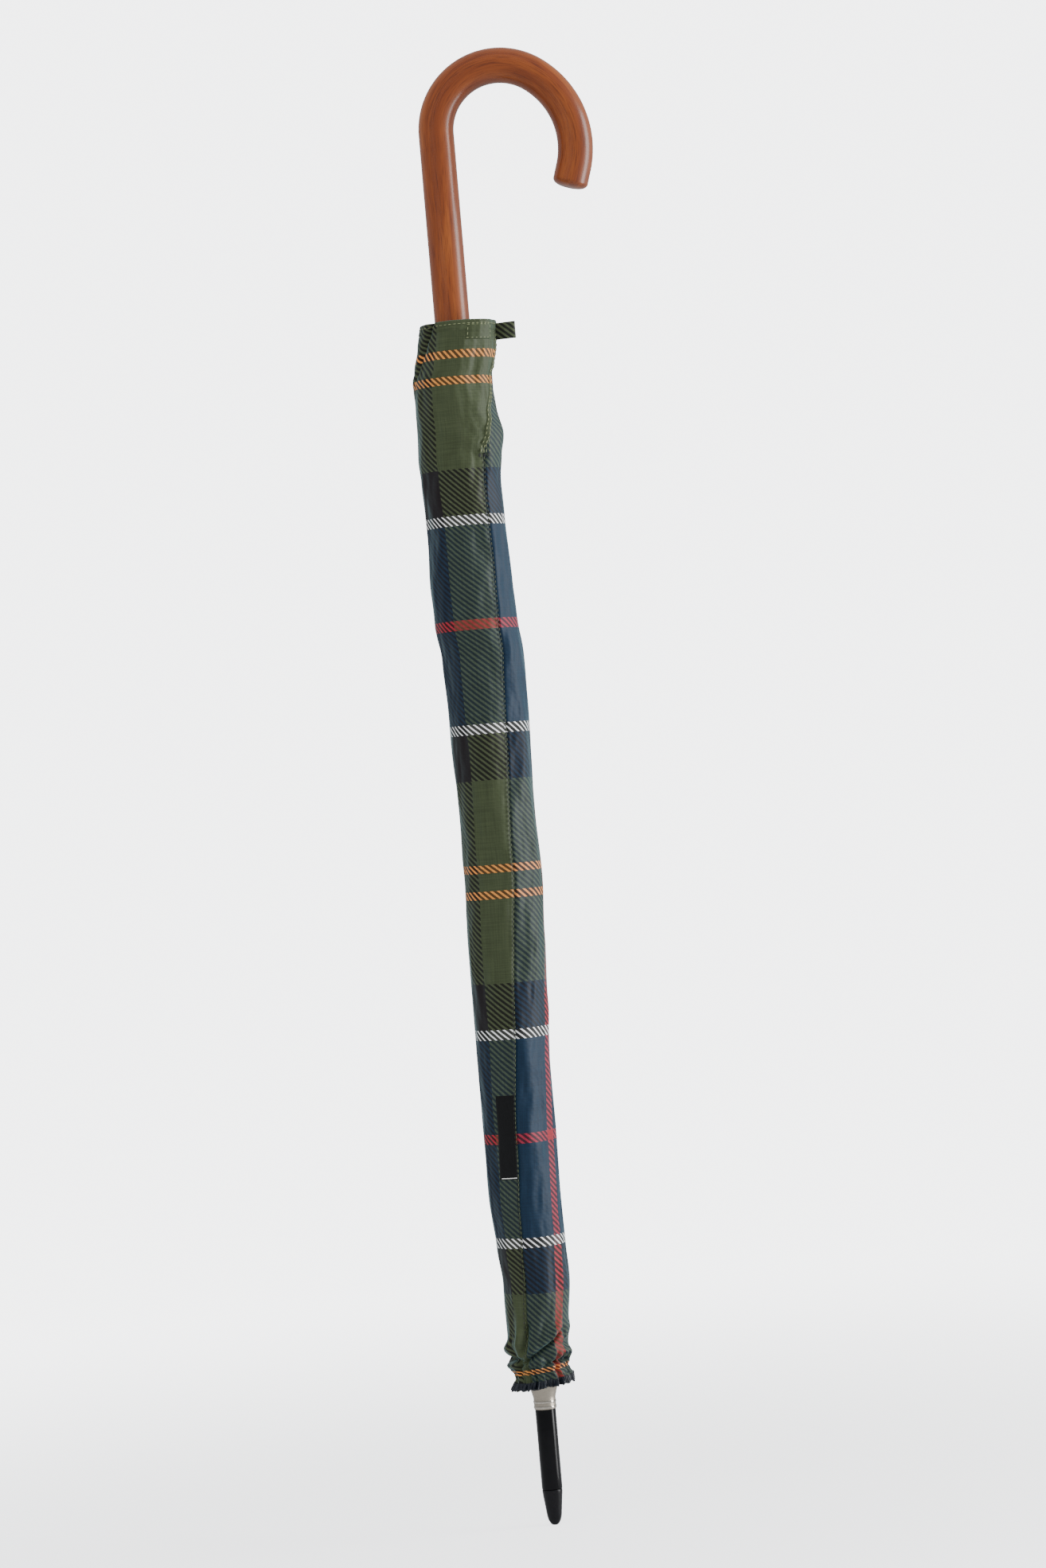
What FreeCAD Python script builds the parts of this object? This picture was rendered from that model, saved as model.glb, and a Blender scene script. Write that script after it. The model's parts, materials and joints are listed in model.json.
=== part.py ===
"""Stick umbrella, closed, inside a removable cloth sleeve with a gathered cuff.

Frame: origin at the tip, on the shaft's axis; +Z runs up the shaft to the crook; the crook opens to +X.
All sizes are in millimetres. Every piece is its own solid in its own file.
"""

import math

from FreeCAD import Vector
import Part

# ---- driving dimensions -------------------------------------------------------------------------
LENGTH = 900.0  # tip to the top of the crook

# end pieces at the tip
CAP_TOP = 22.0
CAP_R = 6.2
CAP_SIDE = [(1.4, 0), (2.6, 0.9), (3.8, 3.0), (4.5, 5.6)]  # (radius, height) up its worn end
FERRULE_R = 6.3
FERRULE_TOP = 71.0
CUP_TOP = 97.0
CUP_FOOT_R = 6.7
CUP_BAND_R = 7.0
CUP_BANDS = [(71.6, 73.2), (74.8, 76.4)]  # two raised rings near its foot
CUP_TRUMPET = [(6.8, 78.0), (7.9, 82.5), (9.0, 85.6), (9.9, 89.0), (10.2, 93.0)]
CUP_MOUTH_R = 10.2

# shaft and handle
SHAFT_R = 5.0
SHAFT_BORE_R = 4.2
SHAFT_LOW = 24.0
SHAFT_HIGH = 705.0
CROOK_R = 39.0  # radius of the bend's centreline up and over the top
CROOK_DEG = 125.0  # how far the rod turns at that radius
CROOK_WIDE_R = 53.0  # radius of the wider bend that follows it down
CROOK_WIDE_DEG = 72.0
CROOK_LEG = 8.5  # straight end beyond the bend
CROOK_DOME = 4.0  # height of its shallow domed end
WOOD_R = 10.8
WOOD_LOW = 668.0
COLLAR_R = 11.6
COLLAR_LOW = 658.0
COLLAR_HIGH = 680.0
COLLAR_BORE_R = 9.4

# umbrella frame
RIBS = 8
CROWN_LOW = 98.0
CROWN_HIGH = 112.0
CROWN_R = 11.0
CROWN_CORE_R = 5.7  # where its slots end
CROWN_SLOT_FLOOR = 4.5  # above its foot
PIVOT_R = 8.0  # ribs turn on the crown wire, at this radius
PIVOT_Z = 106.0
CROWN_WIRE_R = 0.6
EYE_R = 1.9
EYE_HOLE_R = 0.85
RIB_LENGTH = 600.0
RIB_WIDTH = 3.6
RIB_WALL = 0.5
RIB_BACK = 1.8  # outer face of the rib's web, from its pivot line
RIB_LIP = 1.2  # how far its walls reach inwards
RIB_NECK = 12.0  # flat end that reaches into the crown
RIB_TIP_R = 2.4
RIB_BALL_R = 2.6
REST_DEG = 1.0  # lean of a closed rib
OPEN_DEG = 70.0  # how far a rib turns
STRETCHER_LENGTH = 250.0  # equals the rib's length from crown to stretcher pivot
STRETCHER_WIDTH = 1.8
STRETCHER_DEPTH = 2.0
STRETCHER_END_R = 1.4
RIVET_R = 0.6
RIVET_HOLE_R = 0.75
SLOT_WIDTH = 2.8

# runner and catches
RUNNER_BORE_R = 5.15
RUNNER_CORE_R = 6.3
RUNNER_FLANGE_R = 10.4
RUNNER_GRIP_R = 9.4
RUNNER_FLANGE_LOW = 598.0
RUNNER_FLANGE_HIGH = 613.0
RUNNER_GRIP_LOW = 636.0
RUNNER_HIGH = 652.0
RUNNER_BEVEL = 0.8
CATCH_WIDTH = 1.6
CATCH_SLOT_WIDTH = 2.0
CATCH_OUT_R = 7.4
CATCH_FLUSH_R = 5.6  # where its sloping back meets the shaft
CATCH_ROOT = 2.0  # how far it reaches past the shaft's axis
CATCH_NOSE = 4.0  # length of its blunt end
CATCH_LENGTH = 22.0
CATCH_ROOM = 1.0  # the slot's play at each end of its catch
CATCH_DEG = 180.0 / RIBS  # midway between two ribs
BOTTOM_CATCH_LOW = 572.0
TOP_CATCH_LOW = 318.0

# canopy, furled round the frame
CANOPY_LOW = 116.0
CANOPY_HIGH = 700.0
CANOPY_LOW_R = 11.6
CANOPY_HIGH_R = 21.2
CANOPY_WALL = 0.8
CANOPY_GAP_DEG = 2.0
STRAP_LOW = 560.0
STRAP_HIGH = 690.0
STRAP_WALL = 0.5
STRAP_GAP = 0.1  # between strap and canopy
STRAP_HALF_DEG = 16.0
SNAP_R = 4.5
SNAP_THICK = 1.0
SNAP_UP = 12.0  # from the strap's lower end

# sleeve: (height, outer radius) up its side
SLEEVE_WALL = 0.9
SLEEVE_PANELS = 8
SLEEVE_SIDE = [(84.0, 17.0), (94.0, 16.6), (104.0, 19.2), (140.0, 20.2), (300.0, 22.4), (480.0, 23.6),
               (620.0, 24.4), (722.0, 24.6)]
SLEEVE_HEM_HIGH = 734.0
SLIT_DEG = -10.0  # where the slit is at the mouth
SLIT_LOW = 654.0
SLIT_WIDTH = 3.0
CUFF_LOW = 91.0
CUFF_HIGH = 97.0
CUFF_WALL = 1.1
ELASTIC_GAP = 0.3  # inside the cloth
HEM_PROUD = 0.3  # how far a hem stands out of the cloth, on each side
LAID_GAP = 0.02  # under what is sewn to the sleeve
LABEL_WALL = 0.6
LABEL_LOW = 213.5
LABEL_HIGH = 264.5
LABEL_DEG = -113.0
LABEL_WIDTH = 12.0
TAB_Z = 727.0
TAB_HEIGHT = 10.0
TAB_OUT = 12.0
TAB_WALL = 1.2
PATCH_WIDTH = 18.0
PATCH_HEIGHT = 10.0
PATCH_WALL = 0.8

AXIS = Vector(0, 0, 1)
CUT = 1.0  # how far a cutting tool overshoots


def save(shape, node):
    shape.exportStep("parts/" + node + ".step")


def turned(outline):
    """A solid of revolution about the shaft's axis, from (radius, height) points."""
    wire = Part.makePolygon([Vector(r, 0, z) for r, z in outline + outline[:1]])
    return Part.Face(wire).revolve(Vector(0, 0, 0), AXIS, 360)


def rod(radius, low, high):
    return Part.makeCylinder(radius, high - low, Vector(0, 0, low), AXIS)


def ring(outer, inner, low, high):
    return rod(outer, low, high).cut(rod(inner, low - CUT, high + CUT))


def block(x0, x1, y0, y1, z0, z1):
    return Part.makeBox(x1 - x0, y1 - y0, z1 - z0, Vector(x0, y0, z0))


def about_axis(shape, degrees):
    copy = shape.copy()
    copy.rotate(Vector(0, 0, 0), AXIS, degrees)
    return copy


def cross_pin(radius, half_width, x, z):
    """A cylinder along Y, centred on the XZ plane."""
    return Part.makeCylinder(radius, 2 * half_width, Vector(x, -half_width, z), Vector(0, 1, 0))


# ---- tip, ferrule and cup -----------------------------------------------------------------------
tip_cap = turned([(0, 0)] + CAP_SIDE + [(CAP_R, CAP_TOP), (0, CAP_TOP)])
save(tip_cap, "tip_cap")

ferrule = ring(FERRULE_R, SHAFT_R, CAP_TOP, FERRULE_TOP).fuse(rod(SHAFT_R, CAP_TOP, SHAFT_LOW)).removeSplitter()
save(ferrule, "ferrule")

cup_side = [(CUP_FOOT_R, FERRULE_TOP)]
for low, high in CUP_BANDS:
    cup_side += [(CUP_FOOT_R, low), (CUP_BAND_R, low), (CUP_BAND_R, high), (CUP_FOOT_R, high)]
cup_side += CUP_TRUMPET + [(CUP_MOUTH_R, CUP_TOP)]
cup = turned([(SHAFT_R, FERRULE_TOP)] + cup_side + [(SHAFT_R, CUP_TOP)])
save(cup, "ferrule_cup")

# ---- shaft, with two slots for the catches ------------------------------------------------------
shaft = ring(SHAFT_R, SHAFT_BORE_R, SHAFT_LOW, SHAFT_HIGH)
for low in (BOTTOM_CATCH_LOW, TOP_CATCH_LOW):
    slot = block(0, SHAFT_R + CUT, -CATCH_SLOT_WIDTH / 2, CATCH_SLOT_WIDTH / 2,
                 low - CATCH_ROOM, low + CATCH_LENGTH + CATCH_ROOM)
    shaft = shaft.cut(about_axis(slot, CATCH_DEG))
save(shaft, "shaft")


def catch(low, blunt_up):
    """A bent strip in the shaft, with a sloping nose that stands out of the slot."""
    outline = [(-CATCH_ROOT, 0), (CATCH_FLUSH_R, 0), (CATCH_OUT_R, CATCH_LENGTH - CATCH_NOSE),
               (CATCH_OUT_R, CATCH_LENGTH), (-CATCH_ROOT, CATCH_LENGTH)]
    if not blunt_up:
        outline = [(x, CATCH_LENGTH - z) for x, z in outline]
    wire = Part.makePolygon([Vector(x, -CATCH_WIDTH / 2, low + z) for x, z in outline + outline[:1]])
    return about_axis(Part.Face(wire).extrude(Vector(0, CATCH_WIDTH, 0)), CATCH_DEG)


save(catch(BOTTOM_CATCH_LOW, True), "bottom_catch")
save(catch(TOP_CATCH_LOW, False), "top_catch")

# ---- bent wood handle and its collar ------------------------------------------------------------
bend_z = LENGTH - WOOD_R - CROOK_R
disc = Part.Face(Part.Wire(Part.makeCircle(WOOD_R, Vector(0, 0, bend_z), AXIS)))
bend_axis = Vector(0, 1, 0)
bend_centre = Vector(CROOK_R, 0, bend_z)
bend = disc.revolve(bend_centre, bend_axis, CROOK_DEG)

# the wider bend and the end start upright here, and are then carried round the first bend
wide_centre = Vector(CROOK_WIDE_R, 0, bend_z)
wide_bend = disc.revolve(wide_centre, bend_axis, CROOK_WIDE_DEG)
dome_r = (WOOD_R ** 2 + CROOK_DOME ** 2) / (2 * CROOK_DOME)
end_z = bend_z + CROOK_LEG + CROOK_DOME
end = rod(WOOD_R, bend_z, end_z).common(Part.makeSphere(dome_r, Vector(0, 0, end_z - dome_r)))
end.rotate(wide_centre, bend_axis, CROOK_WIDE_DEG)
for shape in (wide_bend, end):
    shape.rotate(bend_centre, bend_axis, CROOK_DEG)
straight = rod(WOOD_R, WOOD_LOW, bend_z).cut(rod(SHAFT_R, WOOD_LOW - CUT, SHAFT_HIGH))
straight = straight.cut(ring(WOOD_R + CUT, COLLAR_BORE_R, WOOD_LOW - CUT, COLLAR_HIGH))
handle = straight.fuse([bend, wide_bend, end])
save(handle, "handle")

collar = rod(COLLAR_R, COLLAR_LOW, COLLAR_HIGH).cut(rod(COLLAR_BORE_R, WOOD_LOW, COLLAR_HIGH + CUT))
collar = collar.cut(rod(SHAFT_R, COLLAR_LOW - CUT, COLLAR_HIGH))
save(collar, "handle_collar")

# ---- crown and its wire -------------------------------------------------------------------------
crown = ring(CROWN_R, SHAFT_R, CROWN_LOW, CROWN_HIGH)
for i in range(RIBS):
    slot = block(CROWN_CORE_R, CROWN_R + CUT, -SLOT_WIDTH / 2, SLOT_WIDTH / 2,
                 CROWN_LOW + CROWN_SLOT_FLOOR, CROWN_HIGH + CUT)
    crown = crown.cut(about_axis(slot, i * 360 / RIBS))
crown_wire = Part.makeTorus(PIVOT_R, CROWN_WIRE_R, Vector(0, 0, PIVOT_Z), AXIS)
save(crown.cut(crown_wire), "crown")
save(crown_wire, "crown_wire")

# ---- runner -------------------------------------------------------------------------------------
flange_in, grip_in = RUNNER_FLANGE_R - RUNNER_BEVEL, RUNNER_GRIP_R - RUNNER_BEVEL
runner = turned([
    (RUNNER_BORE_R, RUNNER_FLANGE_LOW), (flange_in, RUNNER_FLANGE_LOW),
    (RUNNER_FLANGE_R, RUNNER_FLANGE_LOW + RUNNER_BEVEL), (RUNNER_FLANGE_R, RUNNER_FLANGE_HIGH - RUNNER_BEVEL),
    (flange_in, RUNNER_FLANGE_HIGH), (RUNNER_CORE_R, RUNNER_FLANGE_HIGH), (RUNNER_CORE_R, RUNNER_GRIP_LOW),
    (grip_in, RUNNER_GRIP_LOW), (RUNNER_GRIP_R, RUNNER_GRIP_LOW + RUNNER_BEVEL),
    (RUNNER_GRIP_R, RUNNER_HIGH - RUNNER_BEVEL), (grip_in, RUNNER_HIGH), (RUNNER_BORE_R, RUNNER_HIGH),
])
for i in range(RIBS):
    slot = block(RUNNER_CORE_R, RUNNER_FLANGE_R + CUT, -SLOT_WIDTH / 2, SLOT_WIDTH / 2,
                 RUNNER_FLANGE_LOW - CUT, RUNNER_HIGH + CUT)
    runner = runner.cut(about_axis(slot, i * 360 / RIBS))
groove = block(0, CATCH_OUT_R + 0.5, -CATCH_SLOT_WIDTH / 2, CATCH_SLOT_WIDTH / 2,
               RUNNER_FLANGE_LOW - CUT, RUNNER_HIGH + CUT)
runner = runner.cut(about_axis(groove, CATCH_DEG))
save(runner, "runner")

# ---- ribs, stretchers and rib tips --------------------------------------------------------------
pivot = Vector(PIVOT_R, 0, PIVOT_Z)
half = RIB_WIDTH / 2
inner_half = half - RIB_WALL
lip_x, back_x = PIVOT_R - RIB_LIP, PIVOT_R + RIB_BACK
tip_z = PIVOT_Z + RIB_LENGTH
blade_low = PIVOT_Z + 8
blade = block(lip_x, back_x, -half, half, blade_low, tip_z)
blade = blade.cut(block(lip_x - CUT, back_x - RIB_WALL, -inner_half, inner_half, blade_low - CUT, tip_z + CUT))
neck = block(PIVOT_R - 1.0, back_x, -1.0, 1.0, PIVOT_Z, PIVOT_Z + RIB_NECK)
eye = cross_pin(EYE_R, 1.0, PIVOT_R, PIVOT_Z)
rivet = cross_pin(RIVET_R, half, PIVOT_R, PIVOT_Z + STRETCHER_LENGTH)
rib = blade.fuse([neck, eye]).cut(cross_pin(EYE_HOLE_R, half, PIVOT_R, PIVOT_Z)).fuse(rivet).removeSplitter()

# the ball-ended tip is pressed over the rib's end
tip_stem = Part.makeCylinder(RIB_TIP_R, 8, Vector(PIVOT_R, 0, tip_z - 6), AXIS)
ball = Part.makeSphere(RIB_BALL_R, Vector(PIVOT_R, 0, tip_z + 3.4))
rib_tip = tip_stem.fuse(ball).removeSplitter().cut(rib)

for shape in (rib, rib_tip):
    shape.rotate(pivot, Vector(0, 1, 0), REST_DEG)

# a stretcher runs from the rib's rivet back to the shaft
lean = math.radians(REST_DEG)
joint = pivot + Vector(math.sin(lean), 0, math.cos(lean)) * STRETCHER_LENGTH
s_half = STRETCHER_WIDTH / 2
s_deep = STRETCHER_DEPTH / 2
bar = block(joint.x - s_deep, joint.x + s_deep, -s_half, s_half, joint.z, joint.z + STRETCHER_LENGTH)
ends = [cross_pin(STRETCHER_END_R - 0.3, s_half, joint.x, joint.z),
        cross_pin(STRETCHER_END_R, s_half, joint.x, joint.z + STRETCHER_LENGTH)]
stretcher = bar.fuse(ends).cut(cross_pin(RIVET_HOLE_R, s_half + CUT, joint.x, joint.z)).removeSplitter()
stretcher.rotate(joint, Vector(0, 1, 0), -REST_DEG)

for i in range(RIBS):
    degrees = i * 360 / RIBS
    save(about_axis(rib, degrees), "rib_%d" % (i + 1))
    save(about_axis(rib_tip, degrees), "rib_tip_%d" % (i + 1))
    save(about_axis(stretcher, degrees), "stretcher_%d" % (i + 1))


# ---- canopy gores, each a sector of a thin cone -------------------------------------------------
def sector(outline, start_deg, sweep_deg):
    """Part of a turned shell, from start_deg through sweep_deg round the shaft."""
    wire = Part.makePolygon([Vector(r, 0, z) for r, z in outline + outline[:1]])
    return about_axis(Part.Face(wire).revolve(Vector(0, 0, 0), AXIS, sweep_deg), start_deg)


gore_outline = [
    (CANOPY_LOW_R, CANOPY_LOW), (CANOPY_LOW_R + CANOPY_WALL, CANOPY_LOW),
    (CANOPY_HIGH_R + CANOPY_WALL, CANOPY_HIGH), (CANOPY_HIGH_R, CANOPY_HIGH),
]
for i in range(RIBS):
    start = i * 360 / RIBS + CANOPY_GAP_DEG / 2
    save(sector(gore_outline, start, 360 / RIBS - CANOPY_GAP_DEG), "canopy_gore_%d" % (i + 1))


def canopy_r(z):
    share = (z - CANOPY_LOW) / (CANOPY_HIGH - CANOPY_LOW)
    return CANOPY_LOW_R + CANOPY_WALL + share * (CANOPY_HIGH_R - CANOPY_LOW_R)


strap_low_r, strap_high_r = canopy_r(STRAP_LOW) + STRAP_GAP, canopy_r(STRAP_HIGH) + STRAP_GAP
strap_outline = [(strap_low_r, STRAP_LOW), (strap_low_r + STRAP_WALL, STRAP_LOW),
                 (strap_high_r + STRAP_WALL, STRAP_HIGH), (strap_high_r, STRAP_HIGH)]
save(sector(strap_outline, -STRAP_HALF_DEG, 2 * STRAP_HALF_DEG), "tie_strap")

snap_z = STRAP_LOW + SNAP_UP
snap_x = canopy_r(snap_z) + STRAP_WALL + 3 * STRAP_GAP
save(Part.makeCylinder(SNAP_R, SNAP_THICK, Vector(snap_x, 0, snap_z), Vector(1, 0, 0)), "strap_snap")

# ---- sleeve and what is sewn to it --------------------------------------------------------------
def sleeve_r(z):
    """The sleeve's outer radius at a height."""
    for (z0, r0), (z1, r1) in zip(SLEEVE_SIDE, SLEEVE_SIDE[1:]):
        if z <= z1:
            return r0 + (r1 - r0) * (z - z0) / (z1 - z0)
    return SLEEVE_SIDE[-1][1]


hem_r = SLEEVE_SIDE[-1][1]
slit = block(0, hem_r + SLEEVE_WALL, -SLIT_WIDTH / 2, SLIT_WIDTH / 2, SLIT_LOW, SLEEVE_HEM_HIGH + CUT)
slit = about_axis(slit, SLIT_DEG)
outer_side = [(r, z) for z, r in SLEEVE_SIDE]
inner_side = [(r - SLEEVE_WALL, z) for r, z in reversed(outer_side)]
panels = []
for i in range(SLEEVE_PANELS):
    # the panels meet edge to edge, so that the tube stays open inside
    panels.append(sector(outer_side + inner_side, i * 360 / SLEEVE_PANELS, 360 / SLEEVE_PANELS).cut(slit))
save(Part.makeCompound(panels), "sleeve")

hem = ring(hem_r + HEM_PROUD, hem_r - SLEEVE_WALL - HEM_PROUD, SLEEVE_SIDE[-1][0], SLEEVE_HEM_HIGH).cut(slit)
save(hem, "sleeve_mouth_hem")


def shell_on_sleeve(wall, low, high, start_deg, sweep_deg):
    """A thin piece that lies on the sleeve."""
    outline = [(sleeve_r(low) + LAID_GAP, low), (sleeve_r(low) + wall, low),
               (sleeve_r(high) + wall, high), (sleeve_r(high) + LAID_GAP, high)]
    return sector(outline, start_deg, sweep_deg)


def across(width, z):
    """The angle that a width takes up round the sleeve."""
    return math.degrees(width / sleeve_r(z))


label_sweep = across(LABEL_WIDTH, LABEL_LOW)
label = shell_on_sleeve(LABEL_WALL, LABEL_LOW, LABEL_HIGH, LABEL_DEG - label_sweep / 2, label_sweep)
save(label, "sleeve_label")

# the elastic lies inside the gathered cloth
elastic_r = sleeve_r(CUFF_LOW) - SLEEVE_WALL - ELASTIC_GAP
save(ring(elastic_r, elastic_r - CUFF_WALL, CUFF_LOW, CUFF_HIGH), "sleeve_cuff_elastic")

patch_sweep = across(PATCH_WIDTH, TAB_Z)
slit_edge = across(SLIT_WIDTH, TAB_Z)
laid_r = hem_r + HEM_PROUD + LAID_GAP
patch_low, patch_high = TAB_Z - PATCH_HEIGHT / 2, TAB_Z + PATCH_HEIGHT / 2
patch_outline = [(laid_r, patch_low), (laid_r + PATCH_WALL, patch_low), (laid_r + PATCH_WALL, patch_high),
                 (laid_r, patch_high)]
patch = sector(patch_outline, SLIT_DEG - slit_edge - patch_sweep, patch_sweep)
save(patch, "sleeve_patch")
tab = block(laid_r, hem_r + TAB_OUT, -TAB_WALL / 2, TAB_WALL / 2, TAB_Z - TAB_HEIGHT / 2,
            TAB_Z + TAB_HEIGHT / 2)
save(about_axis(tab, SLIT_DEG + slit_edge), "sleeve_tab")
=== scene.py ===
"""Stick umbrella in its tartan cloth sleeve: bent wood crook, nickel cup and black ferrule."""

import json
import math

import bmesh
import bpy
from mathutils import Matrix, Vector, noise


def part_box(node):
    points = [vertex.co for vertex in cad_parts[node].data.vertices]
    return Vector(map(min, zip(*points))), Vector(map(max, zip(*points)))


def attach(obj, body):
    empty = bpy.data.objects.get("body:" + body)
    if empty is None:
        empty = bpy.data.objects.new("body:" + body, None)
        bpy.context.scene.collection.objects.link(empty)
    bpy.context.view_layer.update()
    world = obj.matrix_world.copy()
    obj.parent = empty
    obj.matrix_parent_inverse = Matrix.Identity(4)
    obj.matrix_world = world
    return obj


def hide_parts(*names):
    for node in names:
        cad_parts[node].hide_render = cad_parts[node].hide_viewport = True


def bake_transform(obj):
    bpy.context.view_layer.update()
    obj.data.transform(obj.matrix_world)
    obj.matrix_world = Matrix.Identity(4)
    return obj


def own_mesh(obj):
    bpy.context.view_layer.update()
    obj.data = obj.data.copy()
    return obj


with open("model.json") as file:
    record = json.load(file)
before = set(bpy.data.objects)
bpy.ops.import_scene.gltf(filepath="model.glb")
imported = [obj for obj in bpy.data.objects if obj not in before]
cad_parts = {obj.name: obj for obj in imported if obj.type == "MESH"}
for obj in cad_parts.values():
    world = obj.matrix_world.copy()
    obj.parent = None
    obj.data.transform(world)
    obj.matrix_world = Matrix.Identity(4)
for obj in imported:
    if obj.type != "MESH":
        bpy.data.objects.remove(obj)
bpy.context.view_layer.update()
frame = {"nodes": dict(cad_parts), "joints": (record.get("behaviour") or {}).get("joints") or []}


# ---- shaft, crown, runner and catches -----------------------------------------------------------
# A plated steel tube carries everything. The crown and the runner are moulded nylon, the catches and
# the crown wire are bright spring steel. They are machined shapes, so the frame's own meshes are kept.
MM = 0.001


def linear(hex_colour):
    """An sRGB hex colour as the linear RGBA that a shader takes."""
    parts = [int(hex_colour[i:i + 2], 16) / 255 for i in (1, 3, 5)]
    return [c / 12.92 if c <= 0.04045 else ((c + 0.055) / 1.055) ** 2.4 for c in parts] + [1.0]


def add_node(tree, kind, settings=None, stops=(), **inputs):
    """Adds a shader node. An input is a value, or a link where it is an output socket or a node, whose
    first output it takes. Stops are a colour ramp's (position, hex colour) pairs."""
    node = tree.nodes.new("ShaderNode" + kind)
    for name, value in (settings or {}).items():
        setattr(node.color_ramp if name == "interpolation" else node, name, value)
    if stops:
        while len(node.color_ramp.elements) < len(stops):
            node.color_ramp.elements.new(0.5)
        for element, (position, colour) in zip(node.color_ramp.elements, stops):
            element.position = position
            element.color = linear(colour)
    for name, value in inputs.items():
        key = int(name[1:]) if name[0] == "_" else name.replace("_", " ")
        if isinstance(value, bpy.types.Node):
            value = value.outputs[0]
        if isinstance(value, bpy.types.NodeSocket):
            tree.links.new(value, node.inputs[key])
        else:
            node.inputs[key].default_value = value
    return node


def new_material(name, **shader):
    """A material with one Principled shader; returns it with its tree and shader."""
    material = bpy.data.materials.new(name)
    material.use_nodes = True
    tree = material.node_tree
    tree.nodes.clear()
    surface = add_node(tree, "BsdfPrincipled", **shader)
    add_node(tree, "OutputMaterial", Surface=surface)
    return material, tree, surface


def speckled(name, dark, light, size, roughness, bump=0.0, stretch=(1, 1, 1), **shader):
    """A finish with a small even change of tone, its grain about size metres across."""
    material, tree, surface = new_material(name, Roughness=roughness, **shader)
    place = add_node(tree, "TexCoord")
    scaled = add_node(tree, "Mapping", Vector=place.outputs["Object"], Scale=stretch)
    grain = add_node(tree, "TexNoise", Vector=scaled, Scale=1 / size, Detail=4.0)
    tone = add_node(tree, "ValToRGB", stops=[(0.3, dark), (0.7, light)], Fac=grain)
    tree.links.new(tone.outputs[0], surface.inputs["Base Color"])
    if bump:
        lift = add_node(tree, "Bump", Height=grain, Distance=bump, Strength=0.6)
        tree.links.new(lift.outputs[0], surface.inputs["Normal"])
    return material


# zinc-plated steel tube, drawn lengthwise: a satin metal with fine streaks along it
plated_steel = speckled("plated_steel", "#8E9094", "#B4B6B9", size=0.6 * MM, roughness=0.3,
                        bump=0.01 * MM, stretch=(1, 1, 0.02), Metallic=1.0)
# hard-drawn spring wire: bright and smooth
spring_steel = speckled("spring_steel", "#A2A3A5", "#C6C7C8", size=0.8 * MM, roughness=0.2, Metallic=1.0)
# black enamelled steel: a dark even coat with a soft gloss
enamelled_steel = speckled("enamelled_steel", "#121214", "#1D1D20", size=1 * MM, roughness=0.34,
                           bump=0.02 * MM)
# moulded nylon: near black, fine matt grain
moulded_nylon = speckled("moulded_nylon", "#17171A", "#232326", size=0.5 * MM, roughness=0.48, bump=0.02 * MM)


def finish_node(node, material):
    """Gives one of the frame's own meshes its finish."""
    for holder in frame["nodes"][node].material_slots:
        holder.material = material


RIBS = 8
for node, finish in (
    ("shaft", plated_steel), ("bottom_catch", spring_steel), ("top_catch", spring_steel),
    ("crown_wire", spring_steel), ("crown", moulded_nylon), ("runner", moulded_nylon),
):
    finish_node(node, finish)


# ---- ribs, stretchers and rib tips --------------------------------------------------------------
# Each rib is a channel of enamelled spring steel that turns on the crown wire; a stretcher of the same
# steel is riveted inside it, and a moulded tip with a ball end is pressed on where the cloth is sewn.
for i in range(1, RIBS + 1):
    finish_node("rib_%d" % i, enamelled_steel)
    finish_node("stretcher_%d" % i, enamelled_steel)
    finish_node("rib_tip_%d" % i, moulded_nylon)


# ---- tartan cloth -------------------------------------------------------------------------------
# Polyester twill in a large check, used for the canopy and the sleeve: green with two orange lines,
# near black, white, blue and a red line. Where two colours cross they take turns along the twill.
SETT = 312 * MM  # one repeat of the check, in both directions
GREEN, ORANGE, DARK, WHITE, BLUE, RED = "#404830", "#CC8139", "#1B1517", "#F8F8F5", "#12293E", "#98202E"
HALF_SETT = [  # from the green band's middle out: width in millimetres and colour
    (5.25, GREEN), (5.1, ORANGE), (51.0, GREEN), (28.3, DARK), (5.7, WHITE), (57.0, BLUE),
]
RED_LINE = (7.3, RED)
TWILL_ACROSS, TWILL_UP = 4.0 * MM, 3.55 * MM  # from one pair of twill lines to the next
PALE_NARROWS = 4.6  # how far a pale yarn's float narrows for what it is paler by
TWILL_EDGE = 7.0  # how sharply one colour gives way to the other along a twill line
BENEATH = 0.6  # the share of an even mix of both yarns that shows through the one on top
LEAST_TONE = 0.008  # added to a tone that another is divided by
THREAD_DRAWN = 0.7 * MM  # threads are 0.2 mm across and are drawn this wide, as fine as the eye could part
THREAD_RUNS = 14  # how often a thread changes tone in one repeat
CREASE_ACROSS, CREASE_UP, CREASE_TURN, CREASE_DEEP = 13 * MM, 34 * MM, 0.5, 9 * MM


def sett_stops():
    """The check's bands as stops of a stepped ramp over one repeat, from its first green band's middle."""
    stops, place = [], 0.0
    for width, colour in HALF_SETT + [RED_LINE] + HALF_SETT[::-1]:
        stops.append((place * MM / SETT, colour))
        place += width
    return stops


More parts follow.
